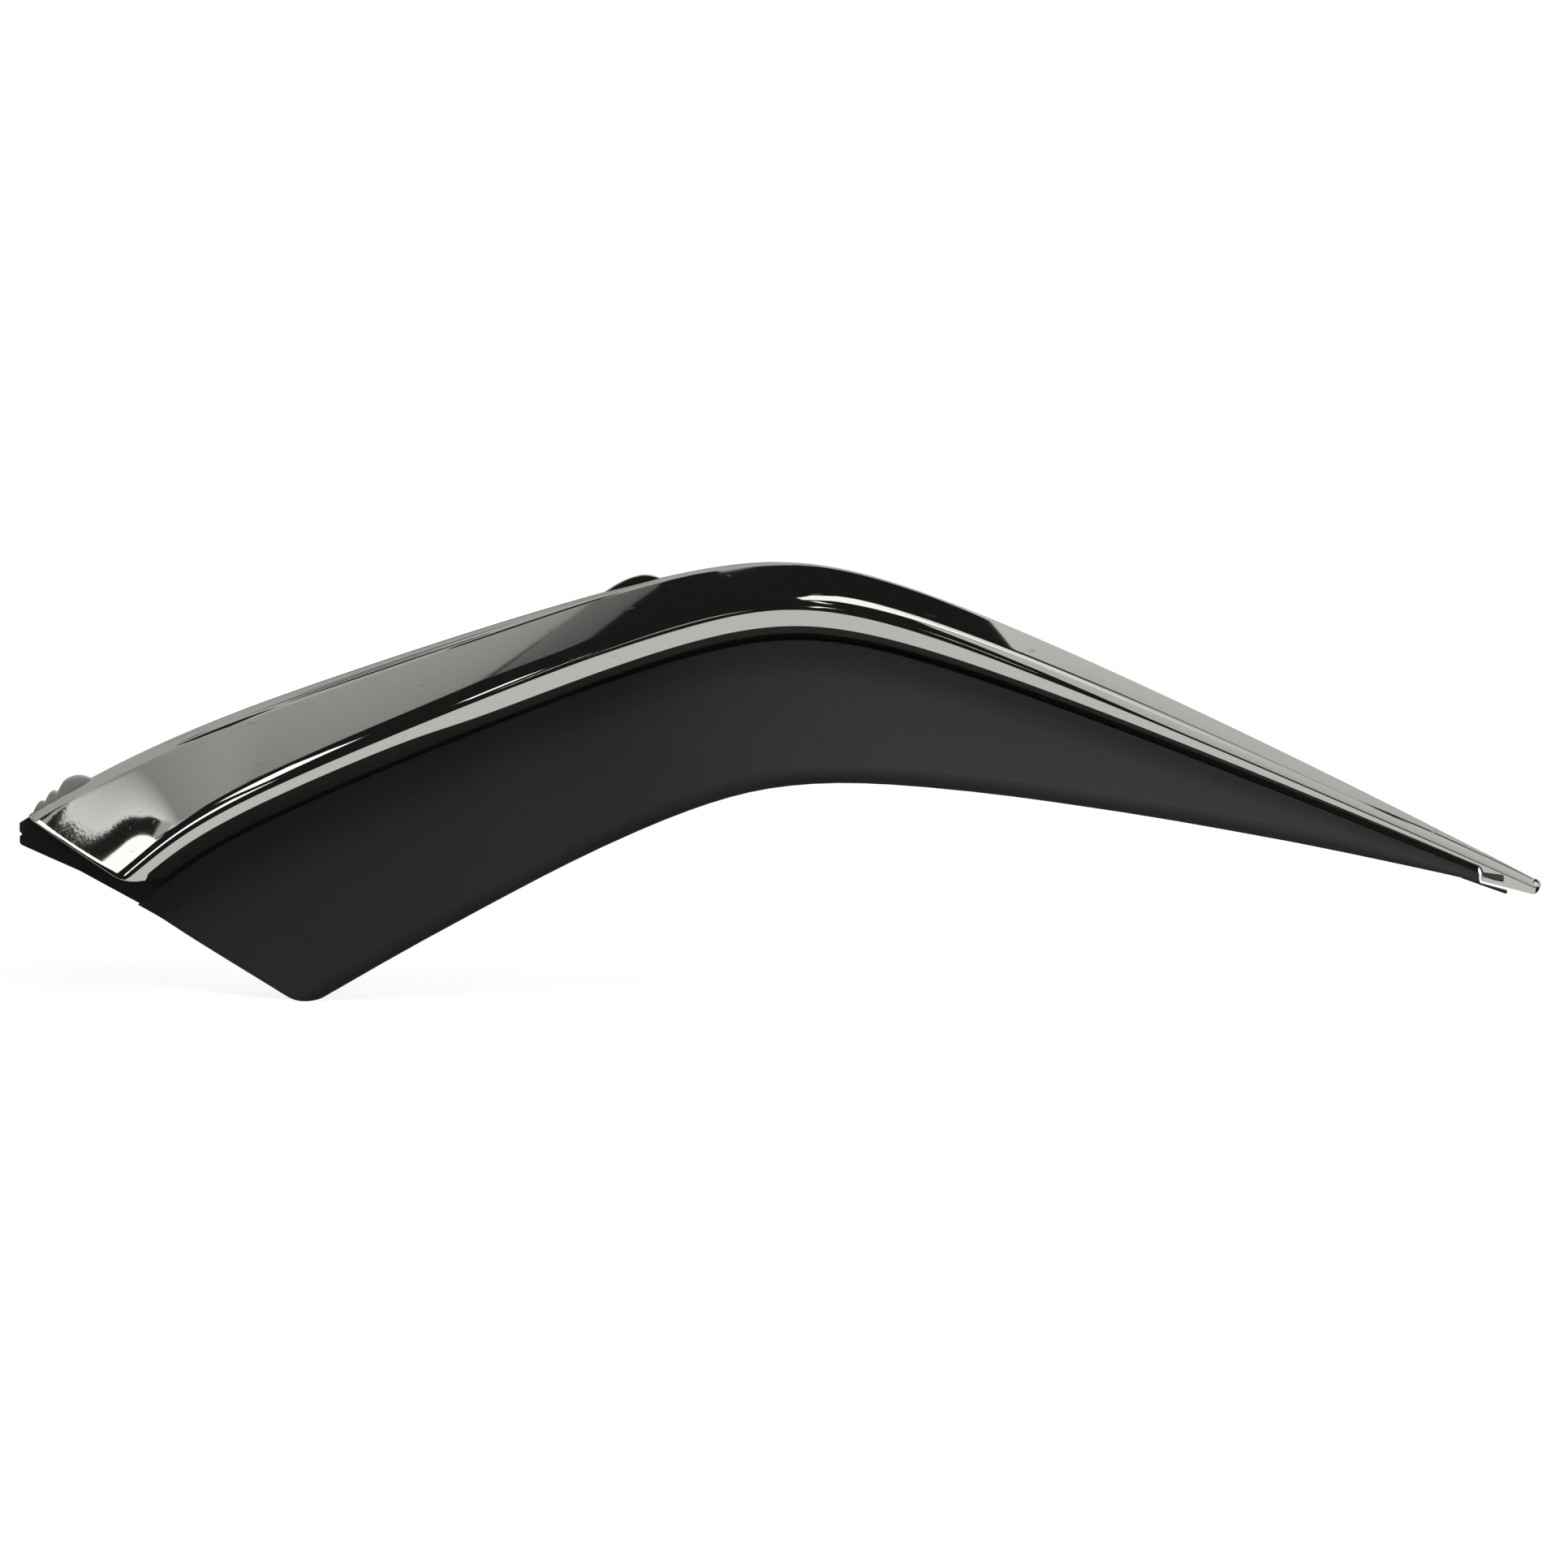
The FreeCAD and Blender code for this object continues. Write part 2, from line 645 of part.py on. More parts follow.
def add_tower(number, along, up, front, root):
    """Square tower from the skin to its root plane, with the tongue that carries a clip."""
    kept.append(block(f"tower_{number}", "Dims.tower_width", "Dims.tower_height", far_front, root, along, up))
    neck_width = "(Dims.tower_width - Dims.neck_margin)"
    neck_height = "(Dims.tower_height - Dims.neck_margin)"
    inside = f"{front} + Dims.panel_wall + 0.5"
    added.append(block(f"neck_{number}", neck_width, neck_height, inside, root, along, up))
    tongue_end = f"{root} + Dims.tongue_length"
    tongue_root = f"{root} - 1"
    added.append(block(f"tongue_{number}", "Dims.tongue_width", "Dims.tongue_thick",
                       tongue_root, tongue_end, along, up))


clip_spots = []
for number, (along, rise) in enumerate(clip_places):
    up, front = behind_chrome(along, rise)
    clip_spots.append((along, plan_at(along), up))
    add_tower(number, along, up, front, plan_at(along))
low_words = written_out(base_guides(low_clip_place))
low_up = "(0.5 * ({cove_y} + {lip_y}))".format(**low_words)
low_front = "(0.5 * ({cove_x} + {lip_x}))".format(**low_words)
low_root = f"{plan_at(low_clip_place)} - Dims.low_root"
clip_spots.append((low_clip_place, low_root, low_up))
add_tower("low", low_clip_place, low_up, low_front, low_root)


def add_peg(label, along, up, front, root):
    """Locating peg with a tapered lead, on a round boss that stands on the skin."""
    kept.append(rod(f"{label}_boss", "Dims.peg_boss_radius", far_front, root, along, up))
    inside = f"{front} + Dims.panel_wall + 0.5"
    neck = "(Dims.peg_boss_radius - 0.5 * Dims.neck_margin)"
    shoulder = f"{root} + Dims.peg_length"
    sizes = {"Radius1": "Dims.peg_radius", "Radius2": "0.6 * Dims.peg_radius", "Height": "Dims.peg_lead"}
    added.append(joined(label, [
        rod(f"{label}_neck", neck, inside, root, along, up),
        rod(f"{label}_stem", "Dims.peg_radius", f"{root} - 1", shoulder, along, up),
        solid("Part::Cone", f"{label}_lead", sizes, (along, shoulder, up), True),
    ]))


origin_words = written_out(base_guides("0"))
add_peg("origin_peg", "0", "0", origin_words["strip_x"], "0")
guide_up, guide_front = behind_chrome(guide_peg_place, "Dims.far_rise")
add_peg("guide_peg", guide_peg_place, guide_up, guide_front, plan_at(guide_peg_place))


def add_nose_tongue():
    """Thin tongue that carries the panel's hem on under the chrome nose."""
    root = "(Dims.panel_reach - 3 * Dims.panel_wall)"
    words = written_out(base_guides(root))
    body = new_body("nose_tongue")
    back = "({lip_x} + 0.2 * Dims.panel_wall + Dims.nose_tongue_width)".format(**words)
    sketch = new_sketch(body, "nose_tongue_outline", "XZ_Plane", f"-{back}")
    end = "(Dims.panel_reach + Dims.nose_tongue_length)"
    shelf = "(Dims.panel_reach + 0.5 * Dims.seat_gap)"
    bevel = "(0.5 * Dims.nose_tongue_thick)"
    low = "(Dims.seat_gap + Dims.nose_tongue_thick)"
    draw_profile(sketch, [], [
        ("root_top", root, f"{line_at('hem', root)} + {bevel}", None),
        ("root_low", root, f"{line_at('hem', root)} - 0.2 * Dims.seat_gap", None),
        ("end_low", f"{end} - {bevel}", f"{line_at('hem', end)} - {low}", None),
        ("end_mid", end, f"{line_at('hem', end)} - Dims.seat_gap - {bevel}", None),
        ("end_top", end, f"{line_at('hem', end)} - Dims.seat_gap", None),
        ("shelf", shelf, f"{line_at('hem', shelf)} - Dims.seat_gap", None),
        ("shelf_root", shelf, f"{line_at('hem', shelf)} + {bevel}", None),
    ])
    pad = body.newObject("PartDesign::Pad", "nose_tongue_pad")
    pad.Profile = sketch
    pad.setExpression("Length", "Dims.nose_tongue_width")
    return body


added.append(add_nose_tongue())
base_space = cut("base_space", base_hollow, joined("base_kept", kept))
base_shell = cut("base_shell", base, base_space)
panel = cut("base_panel", joined("base_with_fixings", [base_shell] + added), joined("holes", holes))


# Spring clips: one folded strip each, gripping the tongue with two legs and sprung outwards by two wings

def add_clip(number, spot):
    """Clip round the tongue at this spot: an arrow outline mirrored about the tongue."""
    body = new_body(f"clip_{number}")
    for axis, expression in zip("xyz", spot):
        body.setExpression(f"Placement.Base.{axis}", expression)
    grip = "(0.5 * Dims.tongue_thick + Dims.clip_play)"
    leg = f"({grip} + Dims.clip_sheet)"
    nose = "(Dims.tongue_length + Dims.clip_play)"
    upper = [
        ("nose_in", nose, grip),
        ("leg_in", "0.2 * Dims.tongue_length", grip),
        ("leg_out", "0.2 * Dims.tongue_length", leg),
        ("fork", f"{nose} - Dims.clip_sheet", leg),
        ("wing_in", "0.52 * Dims.tongue_length", "Dims.clip_span - 1.2 * Dims.clip_sheet"),
        ("foot_in", "0.16 * Dims.tongue_length", "0.52 * Dims.clip_span"),
        ("foot_out", "0.11 * Dims.tongue_length", "0.64 * Dims.clip_span"),
        ("wing_out", "0.53 * Dims.tongue_length", "Dims.clip_span"),
        ("nose_out", f"{nose} + Dims.clip_sheet", f"{leg} - 0.2 * Dims.clip_sheet"),
    ]
    corners = [(f"{name}_up", depth, up, None) for name, depth, up in upper]
    corners += [(f"{name}_low", depth, f"-({up})", None) for name, depth, up in reversed(upper)]
    sketch = new_sketch(body, f"clip_{number}_outline", "YZ_Plane", "0")
    draw_profile(sketch, [], corners)
    pad = body.newObject("PartDesign::Pad", f"clip_{number}_pad")
    pad.Profile = sketch
    pad.Midplane = True
    pad.setExpression("Length", "Dims.clip_width")
    return body


clips = doc.addObject("Part::Compound", "spring_clips")
clips.Links = [add_clip(number, spot) for number, spot in enumerate(clip_spots)]


# Tapping screws: pan head on the seat, shank through the wall into the chrome's boss

def add_screw(number, along):
    """Screw turned about its own Y axis, head towards +Y."""
    up, front = behind_chrome(along)
    body = new_body(f"screw_{number}")
    for axis, expression in zip("xyz", (along, f"{front} + Dims.panel_wall + Dims.seat_rise", up)):
        body.setExpression(f"Placement.Base.{axis}", expression)
    tip = "-(Dims.panel_wall + Dims.seat_rise + Dims.screw_grip)"
    sketch = new_sketch(body, f"screw_{number}_outline", "XY_Plane", "0")
    draw_profile(sketch, [], [
        ("axis_tip", "0", tip, None),
        ("tip", "0.3 * Dims.screw_radius", tip, None),
        ("shank_end", "Dims.screw_radius", f"{tip} + Dims.screw_radius", None),
        ("shank_top", "Dims.screw_radius", "0", None),
        ("head_low", "Dims.head_radius", "0", None),
        ("head_rim", "Dims.head_radius", "0.45 * Dims.head_height", None),
        ("head_top", "0.6 * Dims.head_radius", "Dims.head_height", None),
        ("axis_top", "0", "Dims.head_height", None),
    ])
    turn = body.newObject("PartDesign::Revolution", f"screw_{number}_turn")
    turn.Profile = sketch
    turn.ReferenceAxis = (sketch, ["V_Axis"])
    turn.Angle = 360
    return body


screws = doc.addObject("Part::Compound", "tapping_screws")
screws.Links = [add_screw(number, along) for number, along in enumerate(screw_places)]
doc.recompute()

# Every object must have built, and every piece must be sound, before anything is written
for item in doc.Objects:
    if "Invalid" in item.State or "Error" in item.State:
        raise RuntimeError(f"{item.Label} did not build: {item.getStatusString()}")
pieces = (chrome, panel, clips, screws)
for piece in pieces:
    if piece.Shape.isNull() or not piece.Shape.isValid():
        raise RuntimeError(f"{piece.Label} is not a sound shape")
    print(piece.Label, len(piece.Shape.Solids), len(piece.Shape.Faces), round(piece.Shape.Volume))
os.makedirs("parts", exist_ok=True)
for piece in pieces:
    piece.Shape.exportStep(f"parts/{piece.Label}.step")
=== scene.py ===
# %% [markdown]
# # A bumper moulding, dressed for a studio picture
#
# The part is a corner moulding for a bumper: a bright plated blade with a sharp bend, screwed to a matt
# black panel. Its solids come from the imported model, which is loaded here as a fixed frame. This lesson
# gives the solids their finishes and then builds the studio around them.

# %% Load the frame
import math

import bpy
import numpy as np
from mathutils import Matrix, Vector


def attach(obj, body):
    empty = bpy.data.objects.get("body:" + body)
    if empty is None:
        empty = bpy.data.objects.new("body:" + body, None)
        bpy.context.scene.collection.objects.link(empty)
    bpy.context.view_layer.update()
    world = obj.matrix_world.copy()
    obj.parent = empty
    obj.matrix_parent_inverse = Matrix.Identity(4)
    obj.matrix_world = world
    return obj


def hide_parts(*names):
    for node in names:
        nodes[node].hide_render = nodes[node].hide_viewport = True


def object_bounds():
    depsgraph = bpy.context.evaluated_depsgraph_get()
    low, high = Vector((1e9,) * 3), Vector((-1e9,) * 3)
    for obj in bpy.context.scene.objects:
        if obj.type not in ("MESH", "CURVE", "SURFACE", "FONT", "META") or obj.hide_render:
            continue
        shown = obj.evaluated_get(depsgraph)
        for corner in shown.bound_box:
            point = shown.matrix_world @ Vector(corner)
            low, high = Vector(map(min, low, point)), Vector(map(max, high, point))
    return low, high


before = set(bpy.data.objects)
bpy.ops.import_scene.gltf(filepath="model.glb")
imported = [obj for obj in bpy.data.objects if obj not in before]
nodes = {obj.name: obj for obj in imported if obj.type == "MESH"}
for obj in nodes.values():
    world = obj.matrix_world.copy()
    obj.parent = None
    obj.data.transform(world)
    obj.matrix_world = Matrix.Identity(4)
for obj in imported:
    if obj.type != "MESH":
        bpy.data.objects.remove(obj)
cad_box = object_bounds()
print("nodes:", sorted(nodes))
print("box of the solids:", [[round(value, 4) for value in corner] for corner in cad_box])

# %% [markdown]
# ## Writing shaders as sums
#
# A finish is a network of nodes. Wiring every Math node by hand hides the idea, so one small class wraps an
# output socket and lets plain Python operators add the nodes. `1 - mask` and `2 * mask` work too, because
# the reflected operators are there. Every other kind of node goes through one method, `Shader.add`.

# %% The shader helper
class Value:
    """One output socket of a node tree, with arithmetic that adds Math nodes."""

    def __init__(self, shader, socket):
        self.shader = shader
        self.socket = socket

    def math(self, operation, first, second):
        return self.shader.add("ShaderNodeMath", {"operation": operation}, {0: first, 1: second})

    def __add__(self, other):
        return self.math("ADD", self, other)

    def __radd__(self, other):
        return self.math("ADD", other, self)

    def __rsub__(self, other):
        return self.math("SUBTRACT", other, self)

    def __mul__(self, other):
        return self.math("MULTIPLY", self, other)

    def __rmul__(self, other):
        return self.math("MULTIPLY", other, self)

    def step(self, low, high):
        """Smooth step: nil below low, one above high."""
        settings = {"interpolation_type": "SMOOTHSTEP"}
        sockets = {"Value": self, "From Min": low, "From Max": high, "To Min": 0.0, "To Max": 1.0}
        return self.shader.add("ShaderNodeMapRange", settings, sockets)


class Shader:
    """Node tree of a material or of the world."""

    def __init__(self, owner):
        owner.use_nodes = True
        self.tree = owner.node_tree
        self.tree.nodes.clear()

    def add(self, kind, settings=None, sockets=None, output=0):
        """Adds a node: its settings first, then its sockets' values or links; returns an output if any."""
        node = self.tree.nodes.new(kind)
        for name, setting in (settings or {}).items():
            setattr(node, name, setting)
        for name, content in (sockets or {}).items():
            if isinstance(content, Value):
                self.tree.links.new(content.socket, node.inputs[name])
            else:
                node.inputs[name].default_value = content
        return Value(self, node.outputs[output]) if node.outputs else None

    def blend(self, factor, first, second):
        """Mixes two colours."""
        sockets = {"Factor": factor, 6: first, 7: second}
        return self.add("ShaderNodeMix", {"data_type": "RGBA"}, sockets, 2)

    def noise(self, place, scale, detail=2.0, roughness=0.5, stretch=None):
        """Noise between nil and one on a place, drawn out along an axis where stretch says so."""
        if stretch is not None:
            place = self.add("ShaderNodeVectorMath", {"operation": "MULTIPLY"}, {0: place, 1: stretch})
        sockets = {"Vector": place, "Scale": scale, "Detail": detail, "Roughness": roughness}
        return self.add("ShaderNodeTexNoise", {}, sockets)

    def place(self):
        """Object coordinates, in metres in the frame of the solids."""
        return self.add("ShaderNodeTexCoord", {}, {}, "Object")

    def axes(self, place):
        """The three coordinates of a place."""
        node = self.add("ShaderNodeSeparateXYZ", {}, {0: place}).socket.node
        return [Value(self, output) for output in node.outputs]

    def finish(self, surface, kind="ShaderNodeOutputMaterial"):
        """Links the finished surface to a new output node."""
        self.add(kind, {}, {"Surface": surface})


def new_finish(name):
    """New material and the shader that writes it."""
    material = bpy.data.materials.new(name)
    return material, Shader(material)


def dress(node, material):
    """Gives a solid of the frame its finish."""
    for slot in nodes[node].material_slots:
        slot.material = material
    print("dressed", node, "with", material.name)


# %% [markdown]
# ## The plated blade
#
# Chrome plating has almost no colour of its own: it is a mirror, and what makes it look real is the studio
# around it and the way the surface isn't perfect. Moulded plastic under the plating is never dead flat, so a
# slow wave bends the mirror image. Near the left end the upper part of the face is grained like orange peel.
# Fine scuffs and a little dust finish it. All of it is worked out from the place on the part, in metres, and
# from how far a point lies from the ridge, in millimetres, which the blade's mesh stores.

# %% The plated finish
chrome, shader = new_finish("chrome_plate")
spot = shader.place()
along = shader.axes(spot)[0]
grain_end = -0.205
grain_start = -0.265
grain_full = -22.0
grain_none = -12.0
peel_height = 4e-6
wave_height = 1.2e-5
frost_full = -0.21
frost_none = -0.2
plate_tone = (0.78, 0.775, 0.755, 1.0)
worn_tone = (0.6, 0.59, 0.565, 1.0)
frost_tone = (0.4, 0.39, 0.37, 1.0)
from_ridge = shader.add("ShaderNodeAttribute", {"attribute_name": "from_ridge"}, {}, "Fac")
grained = (1 - along.step(grain_start, grain_end)) * (1 - from_ridge.step(grain_full, grain_none))
peel = shader.noise(spot, scale=700.0, detail=1.0)
wave = shader.noise(spot, scale=24.0, detail=1.0, roughness=0.4)
relief = peel_height * grained * peel + wave_height * along.step(grain_start, grain_end) * wave
bump = shader.add("ShaderNodeBump", {}, {"Strength": 1.0, "Distance": 1.0, "Height": relief})
on_lug = shader.add("ShaderNodeAttribute", {"attribute_name": "is_lug"}, {}, "Fac")
frosted = on_lug * (1 - along.step(frost_full, frost_none))
scratch = shader.noise(spot, scale=160.0, roughness=0.6, stretch=(0.25, 1.0, 1.6)).step(0.66, 0.74)
dust = shader.noise(spot, scale=520.0, roughness=0.7).step(0.62, 0.8)
roughness = 0.03 + 0.02 * grained * peel + 0.1 * scratch + 0.08 * dust + 0.4 * frosted
tone = shader.blend(0.35 * dust + 0.2 * scratch, plate_tone, worn_tone)
tone = shader.blend(frosted, tone, frost_tone)
plated = shader.add("ShaderNodeBsdfPrincipled", {}, {
    "Base Color": tone, "Metallic": 1 - 0.85 * frosted, "Roughness": roughness, "Normal": bump})
shader.finish(plated)
dress("chrome_moulding", chrome)

# %% [markdown]
# ## The blade as one smooth surface
#
# Flat facets that never show on matt plastic do show on a mirror: they break a straight highlight into
# dashes. So the blade is drawn again as a fine surface over the solid. Its shape is a section that is carried
# along the part. Four lines set the corners of the section: the top edge, the ridge, the facet's foot and the
# hem. Each line is two straight arms joined by a smooth bend. Lengths here are in millimetres.

# %% Lines of the blade
bend_width = 45.0
top_line = {"height": 33.9, "place": 5.5, "tilt": -0.073, "fall": 0.381, "curve": 0.158}
ridge_line = {"height": 20.4, "place": 4.5, "tilt": -0.019, "fall": 0.418, "curve": 0.103}
facet_line = {"height": 6.7, "place": 3.3, "tilt": 0.005, "fall": 0.4, "curve": 0.095}
hem_line = {"height": -51.7, "place": -10.2, "tilt": 0.191, "fall": 0.331, "curve": 0.234}

# Curve seen from above, and the droop of the left arm
plan_middle = -100.0
plan_width = 3200.0
front_depth = 34.0
droop_height = 24.0
droop_place = 250.0
droop_width = 30.0
brow_fall = 5.2e-6
brow_turn = -170.0

# How far the planes of the section lean back for each millimetre of height, and where the foot is tucked
face_lean = 0.65
facet_lean = 0.5
foot_lean = 1.1
tuck_share = 0.74
tuck_change = 0.24
tuck_place = 130.0
tuck_width = 20.0

# Returns at the top and at the foot, with the shares of the height that limit them
top_return = 8.0
top_return_share = 0.25
top_return_drop = 0.6
foot_return = 9.0
foot_return_share = 0.3

# Rounded edges, with the shares of the face's height that limit them
brow_round = 1.2
brow_growth = 6.4
brow_place = 85.0
brow_width = 45.0
brow_share = 0.3
ridge_round = 7.0
ridge_share = 0.65
foot_round = 0.7

# Notch under the nose
notch_start = 274.4
notch_round = 2.6


def bent_line(along, height, place, tilt, fall, curve):
    """Height of a line: its greatest height, less a hyperbola's fall on both sides and a slight curve."""
    run = along - place
    arms = fall * (np.hypot(run, bend_width) - bend_width)
    return height + tilt * run - arms - curve * run ** 2 / 1000


def fade(along, place, width):
    """One well to the left of a place, nil well to the right, over about this width."""
    return 0.5 - 0.5 * (along + place) / np.hypot(along + place, width)


def blade_corners(along):
    """Corners of the section as (depth, height) from the top rim round the front to the low rim.

    The front face leans back from the ridge to the top, the facet leans back below it, and its foot is tucked
    under. The left arm droops towards its end. At the right the foot turns down to the hem, which makes
    the nose.
    """
    front = ((along - plan_middle) ** 2 - plan_middle ** 2) / plan_width - front_depth
    crest = bent_line(along, **ridge_line)
    brow = bent_line(along, **top_line)
    droop = droop_height * fade(along, droop_place, droop_width)
    ridge = crest - droop
    top = brow - brow_fall * np.maximum(brow_turn - along, 0.0) ** 3
    foot = bent_line(along, **facet_line) - droop
    turn = np.clip((along - notch_start) / notch_round, 0.0, 1.0)
    low = foot + (1 - np.sqrt(1 - turn ** 2)) * (bent_line(along, **hem_line) - foot)
    tuck = ridge - (tuck_share - tuck_change * fade(along, tuck_place, tuck_width)) * (ridge - low)
    top_depth = front + face_lean * (brow - crest)
    tuck_depth = front + facet_lean * (ridge - tuck)
    low_depth = tuck_depth + foot_lean * (tuck - low)
    tall = top - low
    top_rim = top_depth + np.minimum(top_return, top_return_share * tall)
    low_rim = low_depth + np.minimum(foot_return, foot_return_share * tall)
    corners = [(top_rim, top - top_return_drop), (top_depth, top), (front, ridge),
               (tuck_depth, tuck), (low_depth, low), (low_rim, low)]
    face = top - ridge
    top_round = brow_round + brow_growth * fade(along, brow_place, brow_width)
    roundings = [np.minimum(top_round, brow_share * face), np.minimum(ridge_round, ridge_share * face),
                 foot_round, foot_round]
    return [np.stack(corner, axis=-1) for corner in corners], roundings


print("ridge at the bend:", round(float(bent_line(0.0, **ridge_line)), 1), "mm up")

# %% [markdown]
# ### Rounding the corners
#
# A corner between two straight runs is rounded by an arc that touches both. The arc starts at the touching
# point on one run and swings to the one on the other. Every place in the section is then named by the piece
# it is on, run or arc, and the share of the way along that piece. The front face is crowned a little, because
# a moulded face is never dead flat, and rather more at the left end.

# %% The rounded section
face_crown = 0.04
end_crown = 0.5
crown_place = 262.0
crown_width = 14.0
piece_steps = (3, 8, 24, 28, 10, 6, 5, 6, 4, 4)


def unit(vector):
    """Vector of length one in the same direction."""
    return vector / np.linalg.norm(vector, axis=-1, keepdims=True)


def section(along, piece, share):
    """Point (depth, height) of the section on a run (even piece) or an arc (odd piece), at a share of it.

    With u and v the directions from the corner along its two runs, and half the angle between them, the
    arc of radius r touches at r / tan(half) from the corner, and its middle is r / sin(half) away.
    """
    corners, roundings = blade_corners(along)
    leave = [corners[0]]
    arcs = []
    arrive = []
    for number, radius in enumerate(roundings, start=1):
        back = unit(corners[number - 1] - corners[number])
        ahead = unit(corners[number + 1] - corners[number])
        half = 0.5 * np.arccos(np.clip(np.sum(back * ahead, axis=-1), -1.0, 1.0))
        reach = (radius / np.tan(half))[..., None]
        middle = corners[number] + unit(back + ahead) * (radius / np.sin(half))[..., None]
        first = corners[number] + reach * back
        last = corners[number] + reach * ahead
        swing = np.pi - 2 * half
        near, far = [(np.sin(part * swing) / np.sin(swing))[..., None] for part in (1 - share, share)]
        arcs.append(middle + near * (first - middle) + far * (last - middle))
        arrive.append(first)
        leave.append(last)
    arrive += [corners[-1], corners[0]]
    leave.append(corners[-1])
    runs = [start + share[..., None] * (end - start) for start, end in zip(leave, arrive)]
    outward = unit(arrive[1] - leave[1])[..., ::-1] * (1.0, -1.0)
    crown = face_crown + end_crown * fade(along, crown_place, crown_width)
    runs[1] = runs[1] + outward * (4 * crown * share * (1 - share))[..., None]
    pieces = [runs[0]]
    for arc, run in zip(arcs, runs[1:]):
        pieces += [arc, run]
    pieces.append(runs[-1])
    return np.select([(piece == number)[..., None] for number in range(len(pieces))], pieces)


piece = np.concatenate([np.full(steps, number) for number, steps in enumerate(piece_steps)])
share = np.concatenate([np.arange(steps) / steps for steps in piece_steps])
print("places round the section:", len(piece))

# %% [markdown]
# ### From section to surface
#
# Each place in the section is followed along the part, which gives a grid with one row of points per station.
# The left end is cut off along a slanted line that turns level at the foot. Halving an interval again and
# again finds where every place meets that cut. The edge there is rolled over and closed back to the rim. At
# the right the section shrinks to a point over a rounded tip.

# %% The blade's surface
edge_roll = 0.6
roll_step = 15
cut_height = -83.3
cut_slope = 0.5
cut_place = 267.0
cut_level = -90.3
cut_bend = 1.5
beyond_end = -306.0
within_end = -200.0
halvings = 40
tip_reach = 300.5
tip_round = 2.8
tip_step = 10
tip_start = tip_reach - tip_round
tip_low_share = 0.35
nose_start = 277.6
notch_side = notch_start - 2.0
arm_rows = 340
notch_rows = 36
nose_rows = 24


def end_cut(along):
    """Height of the left end's cut: a slanted line and a level one, joined by a hyperbola."""
    slant = cut_height - cut_slope * (along + cut_place) + edge_roll
    level = cut_level + edge_roll
    return 0.5 * (slant + level + np.hypot(slant - level, cut_bend))


def follow(along):
    """Points of the blade for a grid of stations with one column per place in the section."""
    round_section = section(along, np.broadcast_to(piece, along.shape), np.broadcast_to(share, along.shape))
    return np.concatenate((along[..., None], round_section), axis=-1)


def end_stations():
    """Station at which each place in the section meets the cut, by halving."""
    outside = np.full(len(piece), beyond_end)
    inside = np.full(len(piece), within_end)
    for halving in range(halvings):
        middle = 0.5 * (outside + inside)
        above = follow(middle)[..., 2] > end_cut(middle)
        inside = np.where(above, middle, inside)
        outside = np.where(above, outside, middle)
    return inside


def rolled_end(first, ahead, outward):
    """Rows that turn the first row over by a quarter turn and close it back to the line between the rims."""
    turns = np.radians(np.arange(90, 0, -roll_step))[:, None, None]
    rows = first - edge_roll * (ahead * np.sin(turns) + outward * (1 - np.cos(turns)))
    corners, roundings = blade_corners(rows[0, :, 0])
    rise = np.clip((rows[0, :, 2] - corners[-1][:, 1]) / (corners[0][:, 1] - corners[-1][:, 1]), 0.0, 1.0)
    behind = rows[:1].copy()
    behind[0, :, 1] = corners[-1][:, 0] + rise * (corners[0][:, 0] - corners[-1][:, 0])
    return np.concatenate((behind, rows))


def rounded_tip(last):
    """Rows that shrink the last row to a point as a quarter of an ellipse."""
    turns = np.radians(np.arange(tip_step, 91, tip_step))[:, None]
    heart = last.mean(axis=0)
    heart[2] = tip_low_share * last[:, 2].min() + (1 - tip_low_share) * last[:, 2].max()
    rows = heart + (last - heart) * np.cos(turns)[..., None]
    rows[..., 0] = tip_start + tip_round * np.sin(turns)
    return rows


start = end_stations()
spread = np.linspace(0.0, 1.0, arm_rows)[:-1, None]
arm = start + spread * (notch_side - start)
nose = np.concatenate((np.linspace(notch_side, nose_start, notch_rows)[:-1],
                       np.linspace(nose_start, tip_start, nose_rows)))
stations = np.concatenate((arm, np.repeat(nose[:, None], len(piece), axis=1)))
skin = follow(stations)
around = np.roll(skin, -1, axis=1) - np.roll(skin, 1, axis=1)
outward = unit(np.cross(around, np.gradient(skin, axis=0)))
closed_end = rolled_end(skin[0], unit(skin[1] - skin[0]), outward[0])
skin = np.concatenate((closed_end, skin, rounded_tip(skin[-1])))
print("blade grid:", skin.shape[:2])

# %% [markdown]
# ### Lugs, and making the mesh
#
# Four moulded lugs stand on the return behind the top edge: one at the bend and three at the left end. Each
# is a small dome. All the grids go into one mesh that stands for the solid blade. A grid's columns run in a
# ring, so the last column joins the first, and a flat run closes the back. The mesh also stores how far each
# point is from the ridge, measured round the section, and which points are a lug's, for the finish to use.

# %% The mesh of the blade
lug_sizes = ((-58.1, 22.0, 3.2, 0.6), (-278.0, 15.0, 5.2, 0.34), (-286.6, 7.0, 3.8, 0.5),
             (-291.4, 6.0, 2.6, 0.5))
lug_root = 0.8
lug_back = 4.0
lug_sink = 1.2
lug_power = 0.6
lug_stations = 21
lug_points = 24
far_away = 99.0


